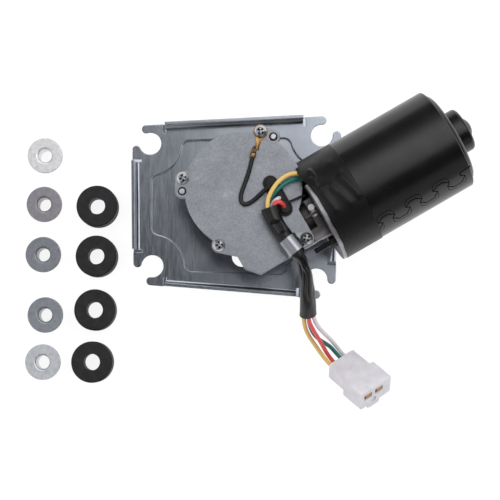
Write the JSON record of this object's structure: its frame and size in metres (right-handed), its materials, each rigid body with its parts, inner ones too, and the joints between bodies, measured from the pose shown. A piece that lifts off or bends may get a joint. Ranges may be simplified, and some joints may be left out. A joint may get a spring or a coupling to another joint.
{
  "type": "wiper motor",
  "caption": "Worm-geared wiper motor on a slotted mounting plate, with its lead, connector, loose grommets and flanged sleeves.",
  "frame": {"origin": "the output spindle's axis where it meets the table, at the thread's end", "axes": "+Z from the table to the gear cover, along the spindle; +X to the right and +Y up as the cover is looked at; the motor points 30 degrees up from +X"},
  "size_m": [0.2669, 0.1849, 0.0844],
  "materials": {
    "zinc_steel": "zinc plated, dull",
    "cover_sheet": "zinc plated sheet, matt",
    "cast_aluminium": "die cast",
    "gasket_paper": "matt",
    "screw_steel": "zinc plated",
    "spindle_steel": "ground",
    "sintered_bronze": "sintered",
    "gear_plastic": "moulded",
    "core_steel": "stamped stack",
    "copper": "enamelled wire",
    "black_paint": "satin black paint",
    "black_tape": "adhesive tape",
    "ferrite": "pressed ferrite",
    "black_bolt": "black oxide",
    "phenolic": "laminate",
    "carbon": "pressed carbon",
    "black_rubber": "moulded",
    "contact_brass": "stamped",
    "black_braid": "braided",
    "black_wire": "extruded",
    "yellow_wire": "extruded",
    "green_wire": "extruded",
    "white_wire": "extruded",
    "red_wire": "extruded",
    "black_sleeve": "extruded, creased",
    "clip_steel": "bright",
    "natural_nylon": "translucent moulding",
    "plated_sleeve": "zinc plated"
  },
  "bodies": {
    "root": {"mounting_plate": "zinc_steel", "thrust_washer": "zinc_steel", "gear_cover": "cover_sheet", "gear_housing": "cast_aluminium", "cover_gasket": "gasket_paper", "plate_screws": "screw_steel", "cover_screws": "screw_steel", "locating_pins": "screw_steel", "spindle_bush": "sintered_bronze", "worm_end_bush": "sintered_bronze", "neck_bush": "sintered_bronze", "rear_bush": "sintered_bronze", "thrust_pad": "gear_plastic", "motor_can": "black_paint", "flux_ring": "black_paint", "tape_band": "black_tape", "magnet_upper": "ferrite", "magnet_lower": "ferrite", "flange_bolt_upper": "black_bolt", "flange_bolt_lower": "black_bolt", "brush_plate": "phenolic", "contact_board": "phenolic", "carbon_brushes": "carbon", "wire_grommet": "black_rubber", "rubber_grommet_1": "black_rubber", "rubber_grommet_2": "black_rubber", "rubber_grommet_3": "black_rubber", "rubber_grommet_4": "black_rubber", "park_contacts": "contact_brass", "ring_terminal": "contact_brass", "connector_blades": "contact_brass", "braided_lead": "black_braid", "ground_lead": "black_wire", "yellow_lead": "yellow_wire", "yellow_tail": "yellow_wire", "green_lead": "green_wire", "green_tail": "green_wire", "white_lead": "white_wire", "white_tail": "white_wire", "red_lead": "red_wire", "red_tail": "red_wire", "harness_sleeve": "black_sleeve", "sleeve_clip": "clip_steel", "connector_housing": "natural_nylon", "flanged_sleeve_1": "plated_sleeve", "flanged_sleeve_2": "plated_sleeve", "flanged_sleeve_3": "plated_sleeve", "flanged_sleeve_4": "plated_sleeve", "flanged_sleeve_5": "plated_sleeve"},
    "armature": {"armature_shaft": "spindle_steel", "armature_core": "core_steel", "windings": "copper", "commutator": "copper"},
    "output": {"worm_wheel": "gear_plastic", "output_spindle": "spindle_steel", "park_disc": "spindle_steel", "spindle_clip": "zinc_steel", "spindle_washer": "zinc_steel"}
  },
  "joints": [
    {"name": "armature_spin", "type": "hinge", "parent": "root", "child": "armature", "pos_m": [0.016, -0.02771, 0.053], "axis": [0.866, 0.5, 0], "continuous": true},
    {"name": "spindle_spin", "type": "hinge", "parent": "root", "child": "output", "pos_m": [0, 0, 0], "axis": [0, 0, 1], "continuous": true}
  ],
  "couplings": [
    {"joint": "spindle_spin", "follows": "armature_spin", "ratio": -0.018182}
  ]
}
